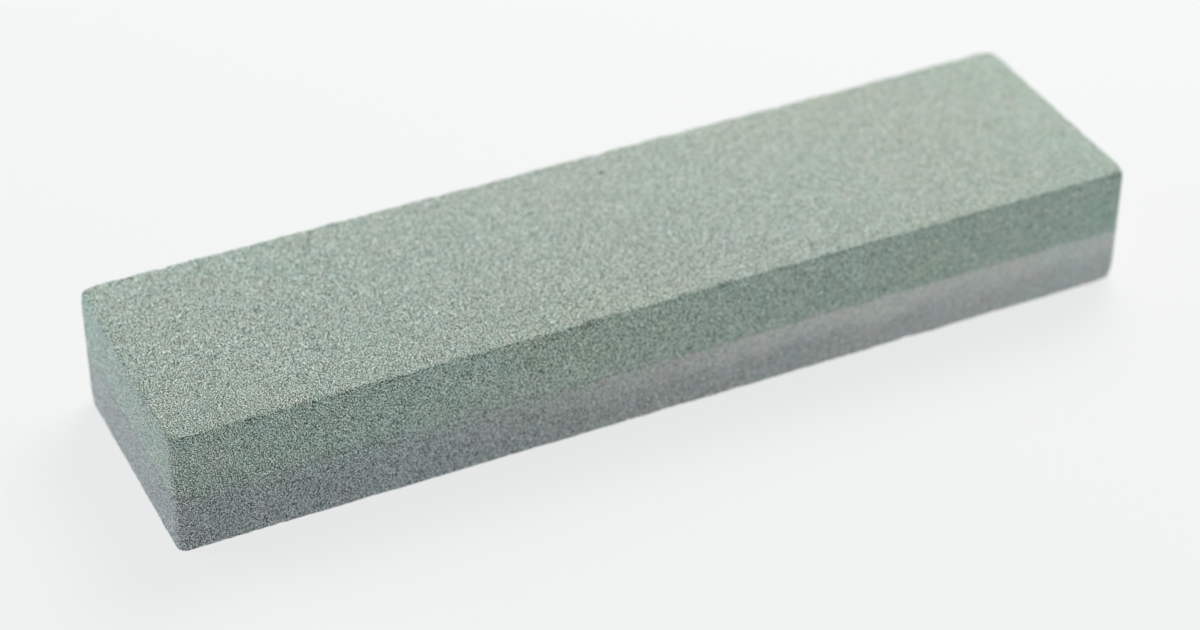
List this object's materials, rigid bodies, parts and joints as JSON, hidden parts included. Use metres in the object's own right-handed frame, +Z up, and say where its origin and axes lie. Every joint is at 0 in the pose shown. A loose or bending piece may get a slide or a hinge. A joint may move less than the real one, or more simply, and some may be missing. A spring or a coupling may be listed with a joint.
{
  "type": "combination sharpening stone",
  "caption": "Rectangular bench whetstone with a coarse green abrasive face over a fine grey one, bonded back to back, with eased edges; either face sharpens blades.",
  "frame": {"origin": "centre of the underside, the fine honing face that the stone rests on", "axes": "+X along the stone's length, +Y across its width, +Z up, out of the coarse honing face"},
  "size_m": [0.2, 0.051, 0.026],
  "materials": {
    "coarse_abrasive": "rough fired silicon carbide, coarse grit, sage green",
    "bond": "set adhesive, dull",
    "fine_abrasive": "rough fired silicon carbide, fine grit, mauve grey"
  },
  "bodies": {
    "root": {"coarse_layer": "coarse_abrasive", "bond_line": "bond", "fine_layer": "fine_abrasive"}
  },
  "joints": []
}
